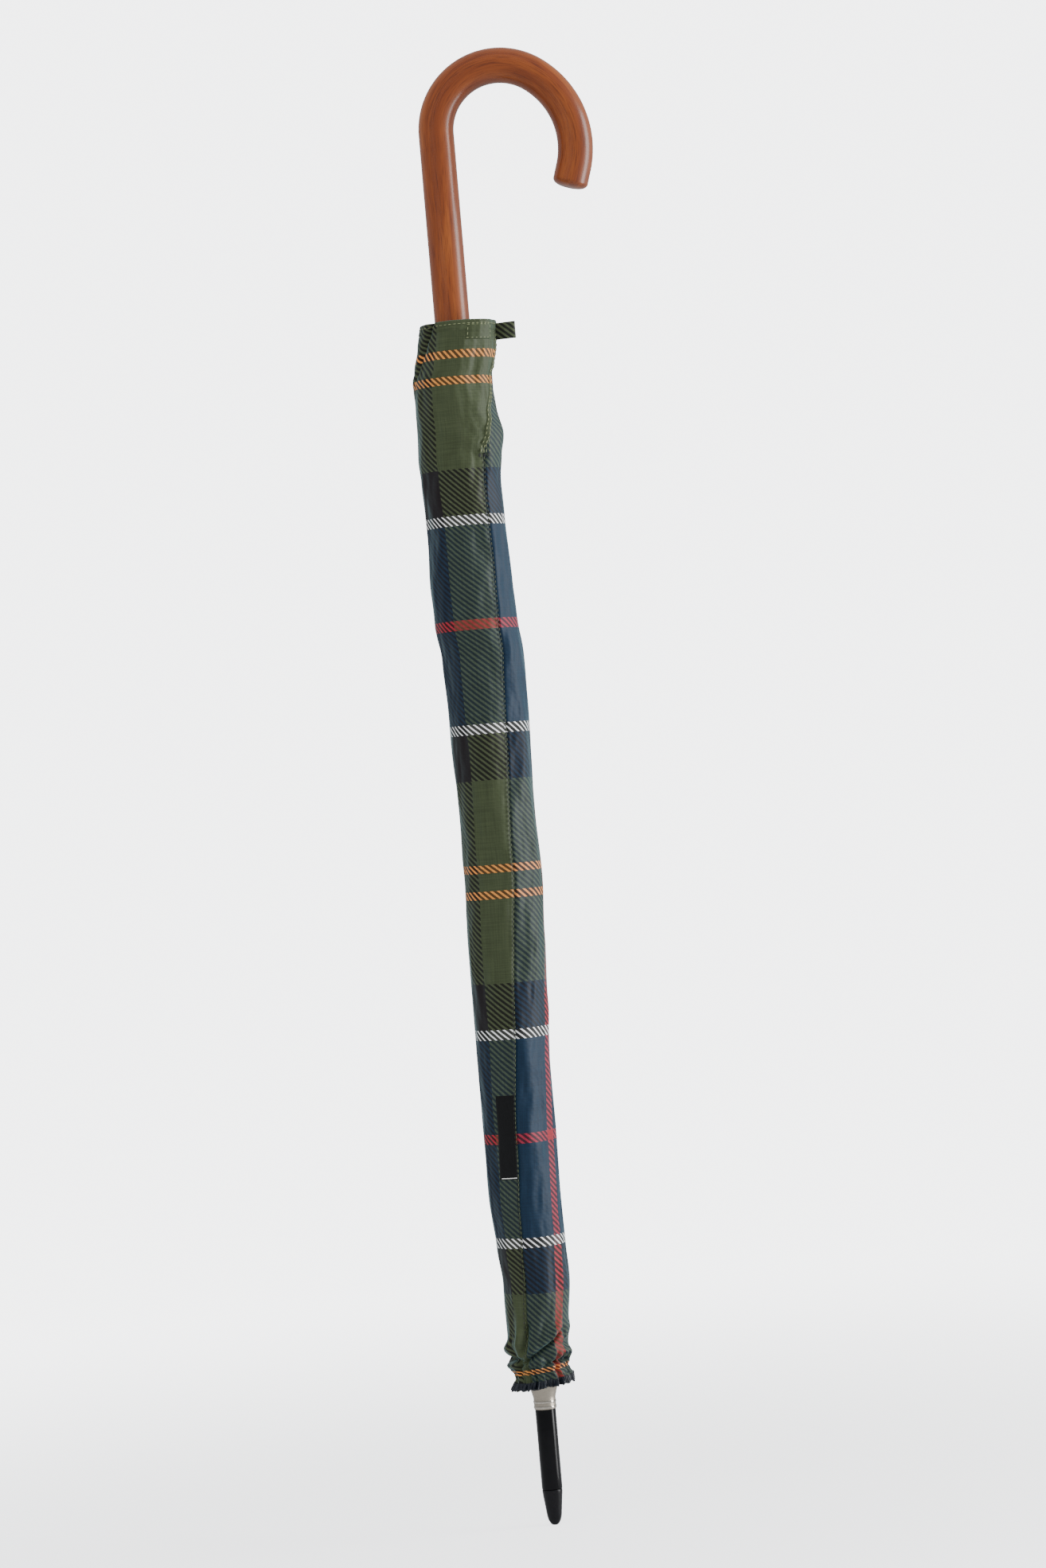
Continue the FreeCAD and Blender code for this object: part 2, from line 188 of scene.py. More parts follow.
def tartan(name):
    """Twill tartan on the piece's UV map, whose unit is one repeat of the check."""
    material, tree, surface = new_material(
        name, Roughness=0.56, Specular_IOR_Level=0.2, Sheen_Weight=0.34, Sheen_Roughness=0.4,
        Sheen_Tint=linear("#8FB9BE"))
    cloth = add_node(tree, "UVMap", {"uv_map": "cloth"})
    ways = add_node(tree, "SeparateXYZ", Vector=cloth).outputs[:2]
    colours, bright, slopes = [], [], []
    for way, spacing in zip(ways, (TWILL_ACROSS, TWILL_UP)):
        repeat = add_node(tree, "Math", {"operation": "FRACT"}, _0=way)
        yarns = add_node(tree, "ValToRGB", {"interpolation": "CONSTANT"}, sett_stops(),
                         Fac=repeat)
        grey = add_node(tree, "RGBToBW", Color=yarns)
        colours.append(yarns)
        bright.append(add_node(tree, "Math", {"operation": "POWER"}, _0=grey, _1=0.5))
        slopes.append(add_node(tree, "Math", {"operation": "MULTIPLY"},
                               _0=way, _1=2 * math.pi * SETT / spacing))
    warp, weft = colours
    slope = add_node(tree, "Math", {"operation": "ADD"},
                     _0=slopes[0], _1=slopes[1])
    wave = add_node(tree, "Math", {"operation": "SINE"}, _0=slope).outputs[0]
    # a pale yarn floats in narrower lines than the dark one it crosses
    paler = add_node(tree, "Math", {"operation": "SUBTRACT"},
                     _0=bright[0], _1=bright[1])
    share = add_node(tree, "Math", {"operation": "MULTIPLY_ADD"},
                     _0=paler, _1=PALE_NARROWS, _2=0.5)
    twill = add_node(tree, "Math", {"operation": "MULTIPLY_ADD"},
                     _0=wave, _1=TWILL_EDGE, _2=share)
    turns = add_node(tree, "Mix", {"data_type": "RGBA", "clamp_factor": True},
                     _0=twill, _6=warp, _7=weft)
    both = add_node(tree, "Mix", {"data_type": "RGBA"}, _0=0.5, _6=warp, _7=weft)
    # the yarn on top shows some of the one beneath it, and stands out by how much paler it is
    mixed = add_node(tree, "Mix", {"data_type": "RGBA"},
                     _0=BENEATH, _6=turns.outputs[2], _7=both.outputs[2])
    tones = []
    for colour in (turns, both):
        grey = add_node(tree, "RGBToBW", Color=colour.outputs[2])
        tones.append(add_node(tree, "Math", {"operation": "ADD"}, _0=grey, _1=LEAST_TONE))
    ratio = add_node(tree, "Math", {"operation": "DIVIDE"},
                     _0=tones[0], _1=tones[1])
    apart = add_node(tree, "Mix", {"data_type": "RGBA", "blend_type": "MULTIPLY", "clamp_result": True},
                     _0=1.0, _6=mixed.outputs[2], _7=ratio)
    fine = SETT / THREAD_DRAWN
    threads = []
    for cells in ((fine, THREAD_RUNS, 1), (THREAD_RUNS, fine, 1)):
        place = add_node(tree, "Mapping", Vector=cloth, Scale=cells)
        threads.append(add_node(tree, "TexNoise", Vector=place, Scale=1.0, Detail=2.0))
    yarn = add_node(tree, "Math", {"operation": "ADD"},
                    _0=threads[0], _1=threads[1]).outputs[0]
    half = add_node(tree, "Math", {"operation": "MULTIPLY"}, _0=yarn, _1=0.5)
    tone = add_node(tree, "ValToRGB", stops=[(0.35, "#D2D2D2"), (0.65, "#FFFFFF")], Fac=half)
    woven = add_node(tree, "Mix", {"data_type": "RGBA", "blend_type": "MULTIPLY"},
                     _0=1.0, _6=apart.outputs[2], _7=tone)
    tree.links.new(woven.outputs[2], surface.inputs["Base Color"])
    # soft creases a few centimetres long, then the yarns, then the twill's lines
    place = add_node(tree, "Mapping", Vector=cloth,
                     Scale=(SETT / CREASE_ACROSS, SETT / CREASE_UP, 1), Rotation=(0, 0, CREASE_TURN))
    creases = add_node(tree, "TexNoise", Vector=place, Scale=1.0, Detail=1.5)
    soft = add_node(tree, "Bump", Height=creases, Distance=CREASE_DEEP, Strength=0.6)
    lift = add_node(tree, "Bump", Height=yarn, Distance=0.15 * MM, Strength=0.35,
                    Normal=soft)
    low = add_node(tree, "Bump", Height=wave, Distance=0.05 * MM, Strength=0.3,
                   Normal=lift)
    tree.links.new(low.outputs[0], surface.inputs["Normal"])
    return material


# polyester twill: matt with a faint cool sheen, its slanting lines standing up a little
cover_cloth = tartan("tartan_twill_polyester")


def piece(name, mesh, material, smooth=True):
    """A finished bmesh as an object at the origin."""
    data = bpy.data.meshes.new(name)
    mesh.to_mesh(data)
    mesh.free()
    data.materials.append(material)
    for face in data.polygons:
        face.use_smooth = smooth
    made = bpy.data.objects.new(name, data)
    bpy.context.scene.collection.objects.link(made)
    return made


def cloth_grid(columns, rows, place, flat):
    """A sheet of cloth: place puts a point (across, up, both 0 to 1), flat gives its UV in check repeats."""
    mesh = bmesh.new()
    bmesh.ops.create_grid(mesh, x_segments=columns, y_segments=rows, size=0.5)
    uv = mesh.loops.layers.uv.new("cloth")
    spots = {vert: (vert.co.x + 0.5, vert.co.y + 0.5) for vert in mesh.verts}
    for face in mesh.faces:
        for loop in face.loops:
            loop[uv].uv = flat(*spots[loop.vert])
    for vert, spot in spots.items():
        vert.co = place(*spot)
    bmesh.ops.recalc_face_normals(mesh, faces=mesh.faces)
    return mesh


# ---- canopy -------------------------------------------------------------------------------------
# Eight gores of the tartan, each hemmed at the rim and sewn to two ribs. Furled, a gore shows one
# strip from its rib to the next, and the rest of its width is pleated flat behind that strip.
wire_low, wire_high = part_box("crown_wire")
WIRE_R = 0.6 * MM
PIVOT_R = (wire_high.x - wire_low.x) / 2 - WIRE_R
PIVOT_Z = (wire_low.z + wire_high.z) / 2
REST_LEAN = math.radians(1.0)
TOP_REACH, RIB_REACH = 12 * MM, 598 * MM  # where the cloth starts and where its rim is, along a rib
PLEATS = 24
PLEAT_NEAR, PLEAT_FAR = 0.12, 0.9  # where the pleats turn, as shares of the strip's width
STRIP_STEPS = 6
STRIP_OFF, STRIP_SWELL = 2.0 * MM, 1.2 * MM  # how far the strip stands off the rib line, and its swell
GORE_ROWS = 44
PACK_FROM, PACK_TO = 0.9 * MM, 3.5 * MM  # the pleats' depth below the rib line
RIM_HOLLOW = 0.02  # how far the rim is cut in between two rib tips, as a share of the rib
GORE_SHIFT = 0.18  # where the gore's middle lies on the check, in repeats
joints = {joint["name"]: joint for joint in frame["joints"]}


def gore(number):
    """One gore, furled, laid out about its spread joint's axis and pivot."""
    joint = joints["gore_%d_spread" % number]
    spread = math.radians(joint["range_deg"][1])
    axis, root = Vector(joint["axis"]), Vector(joint["pos_m"])
    turn = Matrix.Rotation((number - 1) * 2 * math.pi / RIBS, 3, "Z")
    along = turn @ Vector((math.sin(REST_LEAN), 0, math.cos(REST_LEAN)))
    side = axis.cross(along)
    gap = 2 * PIVOT_R * math.sin(math.pi / RIBS)
    columns = STRIP_STEPS + PLEATS
    stations = []  # (sideways share, depth or None on the strip, share of the spread)
    for k in range(columns + 1):
        if k <= STRIP_STEPS:
            stations.append((k / STRIP_STEPS, None, 0.0))
            continue
        step = (k - STRIP_STEPS) / PLEATS
        share = 0.5 - math.sin(math.asin(1 - 2 * step) / 3)
        fold = (PLEAT_NEAR, PLEAT_FAR)[(k - STRIP_STEPS) % 2 == 0]
        stations.append((0.0 if k == columns else fold, PACK_FROM + (PACK_TO - PACK_FROM) * share, step))

    def layout(u, v):
        side_share, depth, step = stations[round(u * columns)]
        reach = TOP_REACH + (RIB_REACH - TOP_REACH) * v
        rib_r = PIVOT_R + reach * math.sin(REST_LEAN)
        if depth is None:
            angle = side_share * 2 * math.pi / RIBS
            outer = rib_r + STRIP_OFF + STRIP_SWELL * side_share ** 2
            x, y = outer * math.cos(angle) - rib_r, outer * math.sin(angle)
            spot = turn @ Vector((x, y, 0))
            return reach, spot.dot(side), spot.dot(axis), 0.0
        widest = layout(STRIP_STEPS / columns, v)[1]
        sideways = widest * side_share if step < 1 else gap
        return reach, sideways, depth, step * spread

    def rim(turned, reach):
        """The rim's hollow line between two rib tips."""
        middle = math.cos(spread / 2) / math.cos(turned - spread / 2)
        hollow = 1 - RIM_HOLLOW * math.sin(math.pi * min(1, turned / spread)) ** 2
        share = (reach / RIB_REACH) ** 3
        return reach * (1 + share * (middle * hollow - 1))

    def place(u, v):
        reach, sideways, depth, turned = layout(u, v)
        reach = rim(turned, reach)
        return root + along * reach + side * sideways + axis * depth

    def flat(u, v):
        reach, sideways, depth, turned = layout(u, v)
        reach = rim(turned, reach)
        angle = turned + sideways / reach - spread / 2
        return reach * math.sin(angle) / SETT + GORE_SHIFT, reach * math.cos(angle) / SETT

    made = piece("canopy_cloth_%d" % number, cloth_grid(columns, GORE_ROWS, place, flat), cover_cloth)
    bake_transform(made)
    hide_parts("canopy_gore_%d" % number)


for number in range(1, RIBS + 1):
    gore(number)


# ---- tip, ferrule and cup -----------------------------------------------------------------------
# The cup is turned brass under satin nickel with two polished bands, the ferrule is a steel tube in
# gloss black enamel, and the tip is a moulded cap pushed on its end, which wears dull where it lands.
ROUND = 96  # facets round a turned piece


def turned(name, outline, material):
    """A piece turned about the shaft's axis, from (radius, height) points in metres."""
    mesh = bmesh.new()
    chain = [mesh.verts.new((r, 0, z)) for r, z in outline]
    edges = [mesh.edges.new(pair) for pair in zip(chain, chain[1:])]
    bmesh.ops.spin(mesh, geom=chain + edges, axis=(0, 0, 1), cent=(0, 0, 0), steps=ROUND,
                   angle=2 * math.pi, use_merge=True)
    bmesh.ops.remove_doubles(mesh, verts=mesh.verts, dist=1e-6)
    bmesh.ops.recalc_face_normals(mesh, faces=mesh.faces)
    return piece(name, mesh, material)


def rounded(outline, radius=0.35 * MM, steps=3):
    """The outline with each of its corners rounded by an arc that takes up less than half an edge."""
    smooth = [outline[0]]
    for before, corner, after in zip(outline, outline[1:], outline[2:]):
        here = Vector(corner)
        one, two = Vector(before) - here, Vector(after) - here
        cut = min(radius, one.length / 2.2, two.length / 2.2)
        start, end = here + one.normalized() * cut, here + two.normalized() * cut
        for k in range(steps + 1):
            t = k / steps
            smooth.append(tuple(start * (1 - t) ** 2 + here * 2 * t * (1 - t) + end * t ** 2))
    return smooth + [outline[-1]]


# satin nickel: warm grey metal, brushed round; the bands are polished bright
satin_nickel = speckled("satin_nickel", "#978F82", "#ABA395", size=0.9 * MM, roughness=0.36,
                        bump=0.01 * MM, stretch=(1, 1, 6), Metallic=1.0)
polished_nickel = speckled("polished_nickel", "#A9A298", "#BDB6AB", size=2 * MM, roughness=0.08, Metallic=1.0)
# stoved enamel on steel: deep black with a wet gloss
gloss_enamel = speckled("gloss_black_enamel", "#040406", "#08080A", size=4 * MM, roughness=0.12,
                        Specular_IOR_Level=0.16)
# moulded hard plastic: black, half gloss, scuffed dull
cap_plastic = speckled("moulded_black_plastic", "#070709", "#111114", size=1.1 * MM, roughness=0.24,
                       bump=0.02 * MM, Specular_IOR_Level=0.2)

cup_low, cup_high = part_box("ferrule_cup")
ferrule_low, ferrule_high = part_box("ferrule")
cap_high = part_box("tip_cap")[1]
CUP_R, FERRULE_R, CAP_R, SHAFT_R = cup_high.x, ferrule_high.x, cap_high.x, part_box("shaft")[1].x

cup_z = cup_low.z
cup = turned("nickel_cup", rounded([
    # inside the neck
    (SHAFT_R, cup_z + 12 * MM), (5.6 * MM, cup_z + 6 * MM), (FERRULE_R + 0.1 * MM, cup_z),
    # the neck that the bands sit on
    (6.55 * MM, cup_z), (6.75 * MM, cup_z + 0.4 * MM), (6.75 * MM, cup_z + 7 * MM),
    # the bell and its rim
    (7.9 * MM, cup_z + 11.5 * MM), (9.0 * MM, cup_z + 14.6 * MM), (9.9 * MM, cup_z + 18 * MM),
    (CUP_R, cup_z + 22 * MM), (CUP_R, cup_high.z),
    # the hollow inside the bell
    (9.4 * MM, cup_high.z), (9.0 * MM, cup_z + 18 * MM), (7.2 * MM, cup_z + 13 * MM),
    (SHAFT_R, cup_z + 12 * MM),
], radius=1.2 * MM, steps=4), satin_nickel)
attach(cup, "stick")
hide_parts("ferrule_cup")
BAND_FEET = (0.6, 3.8)  # above the cup's foot, in millimetres; a band is 1.6 mm high
for k, height in enumerate(BAND_FEET):
    low = cup_z + height * MM
    band = turned("cup_band_%d" % (k + 1), rounded([
        (6.6 * MM, low), (6.9 * MM, low + 0.1 * MM), (7.0 * MM, low + 0.8 * MM), (6.9 * MM, low + 1.5 * MM),
        (6.6 * MM, low + 1.6 * MM),
    ]), polished_nickel)
    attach(band, "stick")

tube = turned("ferrule_tube", rounded([
    (SHAFT_R, ferrule_high.z), (FERRULE_R, ferrule_high.z), (FERRULE_R, ferrule_low.z + 0.2 * MM),
    (SHAFT_R, ferrule_low.z),
]), gloss_enamel)
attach(tube, "stick")
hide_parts("ferrule")

cap = turned("ferrule_end_cap", rounded([
    # straight, then tapered
    (0, cap_high.z), (CAP_R, cap_high.z), (CAP_R, 20.5 * MM), (4.5 * MM, 5.6 * MM),
    # the blunt end that it stands on
    (3.8 * MM, 3.0 * MM), (2.6 * MM, 0.9 * MM), (1.4 * MM, 0), (0, 0),
], radius=0.9 * MM, steps=4), cap_plastic)
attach(cap, "stick")
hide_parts("tip_cap")


# ---- bent wood handle ---------------------------------------------------------------------------
# A rod of ash, steamed and bent to a crook, stained cherry and lacquered. Its grain follows the bend,
# and a nickelled collar joins it to the shaft.
wood_low, wood_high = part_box("handle")
WOOD_R = wood_high.y
BEND_R, FIRST_TURN = 39 * MM, math.radians(125)  # up and over the top
WIDE_R, WIDE_TURN = 53 * MM, math.radians(72)  # and down
LEG, DOME = 8.5 * MM, 4 * MM  # the straight bit after the bend, and its rounded end
ROD_STEPS, DOME_STEPS, DOME_FULL = 150, 14, 0.6
bend_z = wood_high.z - WOOD_R - BEND_R


def along_crook(length):
    """Where a length up the rod's middle is: the point, and the way the rod runs there."""
    rest = length - (bend_z - wood_low.z)
    if rest <= 0:
        return Vector((0, 0, wood_low.z + length)), Vector((0, 0, 1))
    middle, angle = Vector((BEND_R, 0, bend_z)), min(rest / BEND_R, FIRST_TURN)
    radius, rest = BEND_R, rest - BEND_R * FIRST_TURN
    if rest > 0:
        middle += Vector((math.cos(FIRST_TURN), 0, -math.sin(FIRST_TURN))) * (WIDE_R - BEND_R)
        angle = FIRST_TURN + min(rest / WIDE_R, WIDE_TURN)
        radius, rest = WIDE_R, rest - WIDE_R * WIDE_TURN
    point = middle - Vector((math.cos(angle), 0, -math.sin(angle))) * radius
    way = Vector((math.sin(angle), 0, math.cos(angle)))
    return point + way * max(0, rest), way


def crook_mesh():
    """The rod as rings drawn out of a first circle, with a domed end."""
    body_length = bend_z - wood_low.z + BEND_R * FIRST_TURN + WIDE_R * WIDE_TURN + LEG
    stations = [(body_length * k / ROD_STEPS, 1.0) for k in range(ROD_STEPS + 1)]
    for k in range(1, DOME_STEPS):
        angle = math.pi / 2 * k / DOME_STEPS
        stations.append((body_length + DOME * math.sin(angle), math.cos(angle) ** DOME_FULL))
    mesh = bmesh.new()
    straight = mesh.verts.layers.float_vector.new("straight_rod")
    ring = bmesh.ops.create_circle(mesh, segments=64, radius=WOOD_R)["verts"]
    rest = [vert.co.copy() for vert in ring]
    edges = list(mesh.edges)
    for number, (length, share) in enumerate(stations):
        if number:
            grown = bmesh.ops.extrude_edge_only(mesh, edges=edges)["geom"]
            edges = [one for one in grown if isinstance(one, bmesh.types.BMEdge) and len(one.link_faces) == 1]
            fresh = {one for one in grown if isinstance(one, bmesh.types.BMVert)}
            ring = [next(edge.other_vert(vert) for edge in vert.link_edges if edge.other_vert(vert) in fresh)
                    for vert in ring]
        point, way = along_crook(length)
        outward = Vector((way.z, 0, -way.x))
        for vert, start in zip(ring, rest):
            vert.co = point + outward * (start.x * share) + Vector((0, start.y * share, 0))
            vert[straight] = (start.x * share, start.y * share, length)
    bmesh.ops.contextual_create(mesh, geom=edges)
    bmesh.ops.recalc_face_normals(mesh, faces=mesh.faces)
    return mesh


PORE_CELLS = (2000, 2000, 80)  # per metre: a pore is about 0.5 mm across and 12.5 mm long
FIGURE_CELLS = (150, 150, 14)  # and the broad figure is about 7 mm by 70 mm


def stained_wood():
    """Cherry stain on straight-grained ash under half-gloss lacquer."""
    material, tree, surface = new_material("stained_lacquered_ash", Roughness=0.5, Specular_IOR_Level=0.2,
                                           Coat_Weight=0.5, Coat_Roughness=0.25)
    rod = add_node(tree, "Attribute", {"attribute_name": "straight_rod"})
    pores = add_node(tree, "Mapping", Vector=rod.outputs["Vector"], Scale=PORE_CELLS)
    pore = add_node(tree, "TexNoise", Vector=pores, Scale=1.0, Detail=3.0)
    figures = add_node(tree, "Mapping", Vector=rod.outputs["Vector"], Scale=FIGURE_CELLS)
    figure = add_node(tree, "TexNoise", Vector=figures, Scale=1.0, Detail=4.0,
                      Distortion=0.6)
    base = add_node(tree, "ValToRGB", stops=[(0.3, "#672C0B"), (0.5, "#7A3A10"), (0.7, "#8A4818")],
                    Fac=figure)
    dark = add_node(tree, "ValToRGB", stops=[(0.34, "#7E5038"), (0.5, "#FFFFFF")], Fac=pore)
    stain = add_node(tree, "Mix", {"data_type": "RGBA", "blend_type": "MULTIPLY"},
                     _0=0.5, _6=base, _7=dark)
    tree.links.new(stain.outputs[2], surface.inputs["Base Color"])
    lift = add_node(tree, "Bump", Height=pore, Distance=0.06 * MM, Strength=0.35)
    tree.links.new(lift.outputs[0], surface.inputs["Normal"])
    return material


crook = piece("crook_handle", crook_mesh(), stained_wood())
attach(crook, "stick")
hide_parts("handle")
finish_node("handle_collar", satin_nickel)


# ---- sleeve -------------------------------------------------------------------------------------
# A cover cut from one tapered piece of the tartan, closed by a lengthwise seam that winds a little round
# the umbrella. It is open at a slit by its mouth and drawn in by elastic round the ferrule.
MOUTH_Z, FRILL_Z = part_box("sleeve_mouth_hem")[1].z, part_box("sleeve")[0].z + 2 * MM
SLIT_Z = MOUTH_Z - 80 * MM
FRONT = -90.0  # the azimuth that faces -Y; angles below are measured from it
ELASTIC_Z = 94.5 * MM
CUFF_TOP = 128 * MM
CUFF_TILT = 1.8 * MM  # the cuff sits a little higher on the right

# height in millimetres, middle's place along X, half width
FIT = [
    (84, 0.0, 17.4), (90, 0.8, 17.3), (92.5, 0.5, 16.4), (95, -0.4, 16.0), (98, -0.6, 17.6),
    (102, -0.6, 18.2), (110, -0.8, 18.4), (120, -0.2, 19.0), (150, 1.2, 20.3), (170, 0.1, 20.9),
    (203, -1.4, 21.8), (280, -1.2, 22.0), (320, 0.1, 22.8), (360, 0.7, 23.7), (400, 2.0, 24.0),
    (436, 1.5, 23.3), (500, 1.5, 24.6), (530, 1.2, 25.0), (553, -1.1, 25.2), (575, -1.9, 25.0),
    (610, -1.9, 23.8), (640, -2.7, 24.0), (652, -2.6, 24.9), (667, -1.2, 25.9), (680, -1.9, 25.2),
    (700, -1.9, 24.0), (707, 0.0, 23.7), (720, 2.3, 23.3), (734, 3.6, 22.8),
]
# height in millimetres, the seam's angle from the front
SEAM = [
    (84, -27), (125, -21.5), (237, -4.5), (302, 5.5), (402, 16.5), (482, 26), (590, 36), (622, 36),
    (652, 38), (666, 45), (676, 52), (697, 68), (715, 81), (734, 86),
]


def read_off(table, z, column=1):
    """A value from a short table of heights, eased from one to the next."""
    height = z / MM
    if height <= table[0][0]:
        return table[0][column]
    for low, high in zip(table, table[1:]):
        if height <= high[0]:
            t = (height - low[0]) / (high[0] - low[0])
            return low[column] + (high[column] - low[column]) * t * t * (3 - 2 * t)
    return table[-1][column]


# creases and swells in the cloth: from (angle, height mm) to (angle, height mm), width mm, lift mm
FOLDS = [
    # at the mouth
    ((-44, 737), (-64, 718), 2.0, -4.8), ((-64, 718), (-76, 702), 2.0, -3.8),
    ((-82, 726), (-92, 694), 4.5, 1.8), ((-58, 706), (-40, 696), 4.0, 0.8),
    # puckers at the slit's foot
    ((38, 656), (12, 668), 1.6, -1.6), ((38, 651), (6, 655), 1.8, -1.4),
    ((38, 661), (22, 678), 1.8, -1.1), ((12, 655), (-8, 640), 6.0, 0.9),
    ((78, 672), (70, 650), 9.0, 2.2), ((100, 700), (96, 660), 7.0, -1.6),
    # long swells down the cover
    ((-20, 700), (-12, 620), 9.0, -0.9), ((15, 600), (0, 540), 8.0, 0.8),
    ((-60, 560), (-50, 480), 9.0, -0.8), ((28, 520), (40, 430), 6.0, -0.8),
    ((60, 440), (55, 330), 8.0, 0.8), ((-30, 420), (-44, 340), 8.0, 0.7),
    ((20, 330), (26, 230), 6.0, 0.9), ((44, 300), (50, 190), 6.0, -0.8),
    ((-34, 250), (-50, 180), 6.0, -0.6), ((10, 200), (16, 135), 6.0, 0.9),
    ((-60, 150), (-48, 122), 5.0, -0.9), ((36, 165), (48, 128), 5.0, -0.8),
    # the cuff's gathers: the left side, the folds that rise to the right, and the back
    ((-96, 109.5), (-50, 113), 3.6, 3.4), ((-98, 105), (-40, 104), 1.5, -4.2),
    ((-92, 100.5), (-46, 101.5), 2.2, 2.8), ((-38, 105), (-52, 96.5), 1.3, -2.2),
    ((-30, 103), (-36, 97), 1.6, 1.6), ((-34, 122), (-42, 108), 2.2, 1.8),
    ((-40, 128), (-34, 108), 2.6, 2.0), ((-18, 126), (-34, 104), 1.5, -2.4),
    ((-62, 118), (-52, 106), 1.6, -2.0), ((2, 112), (10, 124), 1.6, -1.0),
    ((54, 124), (60, 108), 1.8, -1.6), ((34, 106), (38, 98), 1.1, -1.6),
    ((62, 106), (66, 98), 1.1, -1.6), ((-6, 103), (-4, 98), 1.0, -1.4),
    ((-48, 99.5), (-14, 105.5), 1.2, -3.6), ((-14, 105.5), (27, 112.7), 1.2, -3.6),
    ((27, 112.7), (50, 119.5), 1.1, -2.6), ((-40, 104.5), (-10, 109.5), 2.4, 2.2),
    ((-10, 109.5), (27, 116.5), 2.4, 2.2), ((27, 116.5), (46, 123), 2.4, 1.4),
    ((-14, 101), (6, 103), 2.6, 1.8), ((20, 107), (75, 104), 3.2, 3.4), ((38, 112), (66, 115), 2.0, 1.3),
    ((86, 121), (70, 121), 4.0, 0.9), ((92, 111), (64, 112), 2.2, -2.0),
    ((8, 99.6), (62, 100.4), 1.4, -3.8), ((-10, 98.6), (-46, 97.6), 1.2, -1.8),
    ((8, 106), (16, 100), 1.2, -1.5), ((44, 106), (50, 101), 1.1, -1.3),
    ((110, 112), (150, 104), 3.5, 1.9), ((100, 102), (140, 99), 2.2, -1.9),
    ((160, 110), (200, 114), 3.0, -1.5), ((175, 104), (215, 105), 3.4, 2.1),
    ((225, 116), (250, 106), 2.6, -1.7), ((236, 104), (262, 101), 2.8, 1.9),
]


def folded(angle, z, radius):
    """How far the cloth stands out at an angle from the front and a height."""
    lift = 0.0
    for (a0, z0), (a1, z1), width, height in FOLDS:
        if min(z0, z1) - 4 * width > z / MM or z / MM > max(z0, z1) + 4 * width:
            continue  # four widths away it has died out
        turn = math.radians(((angle - a0 + 180) % 360) - 180) * radius / MM
        run = Vector((math.radians(a1 - a0) * radius / MM, z1 - z0))
        spot = Vector((turn, z / MM - z0))
        t = max(0.0, min(1.0, spot.dot(run) / run.length_squared))
        off = (spot - run * t).length / width
        ends = 0.35 + 0.65 * math.sin(math.pi * (0.1 + 0.8 * t))  # a fold is shallower at its ends
        lift += height * ends * math.exp(-off * off)
    return lift * MM


def faded(z, full, none):
    """1 at the full height, easing to 0 at the other."""
    share = max(0.0, min(1.0, (z - none) / (full - none)))
    return share * share * (3 - 2 * share)


def ring_at(angle):
    """The way outwards at an angle in degrees."""
    return Vector((math.cos(math.radians(angle)), math.sin(math.radians(angle)), 0))


# long soft waves: how many round, their place in the noise, how many up a metre, and height
WAVES = [(1.7, (0, 0), 9, 0.7 * MM), (3.4, (7, 3), 21, 0.45 * MM), (6.5, (1, 9), 52, 0.3 * MM)]
GATHER, GATHER_REACH = 2.1 * MM, 9 * MM  # the elastic's gathers die out within 30 mm
TUCK, TUCK_REACH = 2.4 * MM, 22  # how deep the slit's back edge is tucked, and over how many degrees
TUCK_Z = SLIT_Z + 14 * MM  # from here up it is tucked all the way


def sleeve_shape(angle, z, out=0.0):
    """The cloth's place at an angle from the front and a height, out metres off its surface."""
    radius = read_off(FIT, z, 2) * MM
    ring = ring_at(angle)
    wave = sum(noise.noise(ring * round_it + Vector((*shift, z * up))) * height
               for round_it, shift, up, height in WAVES)
    near = math.exp(-abs(z - ELASTIC_Z) / GATHER_REACH)
    gather = noise.noise(ring * 8 + Vector((0, 0, z * 20)))
    gather += 0.8 * noise.noise(ring * 15 + Vector((3, 1, z * 28)))
    wave = wave * (1 - 0.6 * near) + gather * (0.8 * near + 0.9 * faded(z, FRILL_Z, ELASTIC_Z)) * GATHER
    # above the slit's foot the back edge is tucked under the front one
    from_back = angle - read_off(SEAM, z) - slit_gap(z)
    tuck = -TUCK * math.exp(-max(0.0, from_back) / TUCK_REACH) * faded(z, TUCK_Z, SLIT_Z)
    reach = radius + wave + folded(angle, z, radius) + out + tuck
    turned_to = math.radians(angle + FRONT)
    middle = read_off(FIT, z) * MM
    height = z + CUFF_TILT * math.sin(math.radians(angle)) * faded(z, ELASTIC_Z, CUFF_TOP)
    return Vector((middle + reach * math.cos(turned_to), reach * math.sin(turned_to), height))


SLIT_OVERLAP = 9  # degrees


def slit_gap(z):
    """How many degrees lie between the slit's edges; less than none where they overlap."""
    return -SLIT_OVERLAP * faded(z, SLIT_Z + 12 * MM, SLIT_Z)


def sleeve_angle(share, z):
    """The angle from the front at a share of the way round, from the slit's back edge to its front edge."""
    gap = slit_gap(z)
    return read_off(SEAM, z) + gap + share * (360 - gap)


SLEEVE_COLUMNS, SLEEVE_ROWS = 250, 300
CUFF_ROWS = 90  # more of them where the cloth is gathered
CUT_WIDE, CUT_NARROW = 160 * MM, 124 * MM  # the flat cut's width at the mouth and at the cuff
CUFF_RISE = 5.2 * MM  # how far the elastic draws the check up
CUFF_PINCH, PINCH_SHARE, PINCH_MOST = 98.5 * MM, 0.6, 5 * MM  # below it the gathers take up more cloth
CHECK_ACROSS, CHECK_UP = 199 * MM, 393.3 * MM  # where on the check the piece is cut
